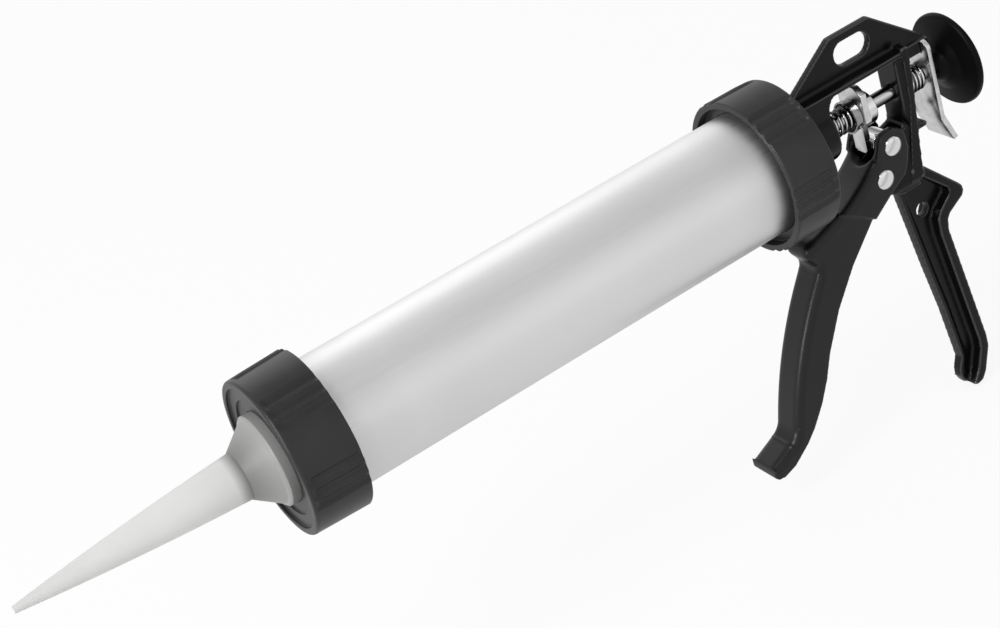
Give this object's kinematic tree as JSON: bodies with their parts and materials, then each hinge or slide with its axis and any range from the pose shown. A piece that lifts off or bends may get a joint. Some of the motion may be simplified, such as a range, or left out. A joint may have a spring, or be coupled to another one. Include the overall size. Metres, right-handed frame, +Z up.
{
  "type": "caulking gun",
  "caption": "Hand caulking gun with an aluminium barrel, screw caps at both ends, a long cone nozzle and a die-cast frame with squeeze trigger and pull rod.",
  "frame": {"origin": "centre of the nozzle's outlet, on the barrel's axis", "axes": "+X runs back along the barrel's axis from the outlet to the pull knob, +Z points up at the hanging fin, +Y points to the user's right with the nozzle facing away"},
  "size_m": [0.4335, 0.0654, 0.1833],
  "materials": {
    "black_paint": "gloss black paint on cast aluminium and steel",
    "barrel_aluminium": "satin, brushed round the tube",
    "cap_plastic": "satin black moulded",
    "nozzle_plastic": "translucent natural polyethylene",
    "chromed_steel": "bright plated",
    "zinc_steel": "zinc plated, sheared edges",
    "spring_steel": "plated wire",
    "piston_plastic": "moulded",
    "knob_plastic": "satin black moulded"
  },
  "bodies": {
    "frame": {"frame_casting": "black_paint", "drive_spring": "spring_steel", "release_spring": "spring_steel"},
    "rear_cap": {"rear_cap": "cap_plastic"},
    "barrel": {"barrel_tube": "barrel_aluminium"},
    "nozzle": {"nozzle": "nozzle_plastic"},
    "front_cap": {"front_cap": "cap_plastic"},
    "rod": {"push_rod": "chromed_steel", "piston_cup": "piston_plastic", "piston_front_washer": "zinc_steel", "piston_rear_washer": "zinc_steel", "piston_nut": "zinc_steel", "piston_lock_nut": "zinc_steel", "pull_knob": "knob_plastic"},
    "drive": {"drive_plate": "zinc_steel", "drive_collar": "chromed_steel", "spring_seat": "chromed_steel"},
    "trigger": {"trigger": "black_paint", "pivot_rivet": "chromed_steel", "push_rivet": "chromed_steel"},
    "roller": {"drive_roller": "zinc_steel"},
    "release": {"release_plate": "zinc_steel"}
  },
  "joints": [
    {"name": "trigger_pull", "type": "hinge", "parent": "frame", "child": "trigger", "pos_m": [0.3794, 0, -0.0286], "axis": [0, -1, 0], "range_deg": [0, 30], "stiffness_Nm_per_rad": 0.6, "springref_deg": -20.05},
    {"name": "drive_plate_slide", "type": "slide", "parent": "frame", "child": "drive", "axis": [-1, 0, 0], "range_m": [0, 0.007], "deforming": ["drive_spring"]},
    {"name": "drive_roller_spin", "type": "hinge", "parent": "trigger", "child": "roller", "pos_m": [0.3863, 0, -0.0165], "axis": [0, -1, 0], "continuous": true},
    {"name": "push_rod_slide", "type": "slide", "parent": "frame", "child": "rod", "axis": [1, 0, 0], "range_m": [0, 0.19]},
    {"name": "release_press", "type": "hinge", "parent": "frame", "child": "release", "pos_m": [0.4147, 0, 0.011], "axis": [0, 1, 0], "range_deg": [0, 6], "stiffness_Nm_per_rad": 0.4, "springref_deg": -11.46, "deforming": ["release_spring"]},
    {"name": "rear_cap_turn", "type": "hinge", "parent": "frame", "child": "rear_cap", "pos_m": [0.3336, 0, 0], "axis": [1, 0, 0], "range_deg": [0, 1080]},
    {"name": "barrel_draw", "type": "slide", "parent": "frame", "child": "barrel", "axis": [-1, 0, 0], "range_m": [0, 0.0121]},
    {"name": "nozzle_draw", "type": "slide", "parent": "barrel", "child": "nozzle", "axis": [-1, 0, 0], "range_m": [0, 0.0121]},
    {"name": "front_cap_turn", "type": "hinge", "parent": "nozzle", "child": "front_cap", "pos_m": [0.114, 0, 0], "axis": [-1, 0, 0], "range_deg": [0, 1080]}
  ],
  "couplings": [
    {"joint": "drive_plate_slide", "follows": "trigger_pull", "m_per_rad": 0.01335},
    {"joint": "barrel_draw", "follows": "rear_cap_turn", "m_per_rad": 0.00063662},
    {"joint": "nozzle_draw", "follows": "front_cap_turn", "m_per_rad": 0.00063662}
  ]
}
